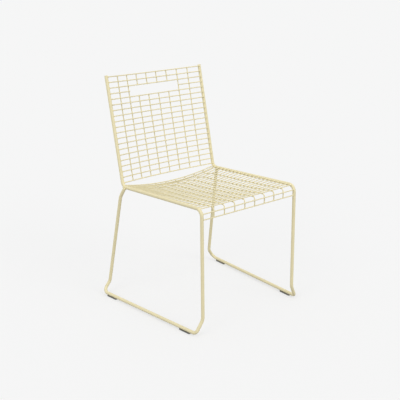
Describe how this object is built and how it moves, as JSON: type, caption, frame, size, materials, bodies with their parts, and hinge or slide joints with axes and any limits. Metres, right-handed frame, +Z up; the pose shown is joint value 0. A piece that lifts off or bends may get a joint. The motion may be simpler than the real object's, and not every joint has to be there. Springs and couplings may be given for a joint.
{
  "type": "wire mesh chair",
  "caption": "Stacking sled chair welded from bent steel rod and wire, with a dished mesh seat, a bowed mesh back with a hand slot, and plastic glides under the runners.",
  "frame": {"origin": "on the floor, under the middle of the chair's width and depth", "axes": "+X to the sitter's left, +Y to the back of the chair, +Z up"},
  "size_m": [0.5636, 0.5624, 0.8228],
  "materials": {
    "cream_powder_coat": "satin cream powder coat on steel",
    "glide_plastic": "moulded matte grey plastic"
  },
  "bodies": {
    "root": {"back_column_pair_1": "cream_powder_coat", "back_column_pair_2": "cream_powder_coat", "back_column_pair_3": "cream_powder_coat", "back_column_pair_4": "cream_powder_coat", "back_row_01": "cream_powder_coat", "back_row_02": "cream_powder_coat", "back_row_03": "cream_powder_coat", "back_row_04": "cream_powder_coat", "back_row_05": "cream_powder_coat", "back_row_06": "cream_powder_coat", "back_row_07": "cream_powder_coat", "back_row_08": "cream_powder_coat", "back_row_09": "cream_powder_coat", "back_row_10": "cream_powder_coat", "back_row_11": "cream_powder_coat", "back_row_12": "cream_powder_coat", "back_row_13": "cream_powder_coat", "back_row_14": "cream_powder_coat", "back_row_15": "cream_powder_coat", "back_row_16": "cream_powder_coat", "back_row_17": "cream_powder_coat", "back_row_18": "cream_powder_coat", "back_row_19": "cream_powder_coat", "back_row_20": "cream_powder_coat", "front_drop_row_1": "cream_powder_coat", "front_drop_row_2": "cream_powder_coat", "glide_left_front": "glide_plastic", "glide_left_rear": "glide_plastic", "glide_right_front": "glide_plastic", "glide_right_rear": "glide_plastic", "left_side_frame": "cream_powder_coat", "rear_cross_bar": "cream_powder_coat", "right_side_frame": "cream_powder_coat", "seat_column_pair_1": "cream_powder_coat", "seat_column_pair_2": "cream_powder_coat", "seat_column_pair_3": "cream_powder_coat", "seat_column_pair_4": "cream_powder_coat", "seat_row_01": "cream_powder_coat", "seat_row_02": "cream_powder_coat", "seat_row_03": "cream_powder_coat", "seat_row_04": "cream_powder_coat", "seat_row_05": "cream_powder_coat", "seat_row_06": "cream_powder_coat", "seat_row_07": "cream_powder_coat", "seat_row_08": "cream_powder_coat", "seat_row_09": "cream_powder_coat", "seat_row_10": "cream_powder_coat", "seat_row_11": "cream_powder_coat", "seat_row_12": "cream_powder_coat", "seat_row_13": "cream_powder_coat", "seat_row_14": "cream_powder_coat", "seat_row_15": "cream_powder_coat", "seat_row_16": "cream_powder_coat", "seat_row_17": "cream_powder_coat", "seat_row_18": "cream_powder_coat", "seat_row_19": "cream_powder_coat", "seat_row_20": "cream_powder_coat", "seat_row_21": "cream_powder_coat", "seat_row_22": "cream_powder_coat"}
  },
  "joints": []
}
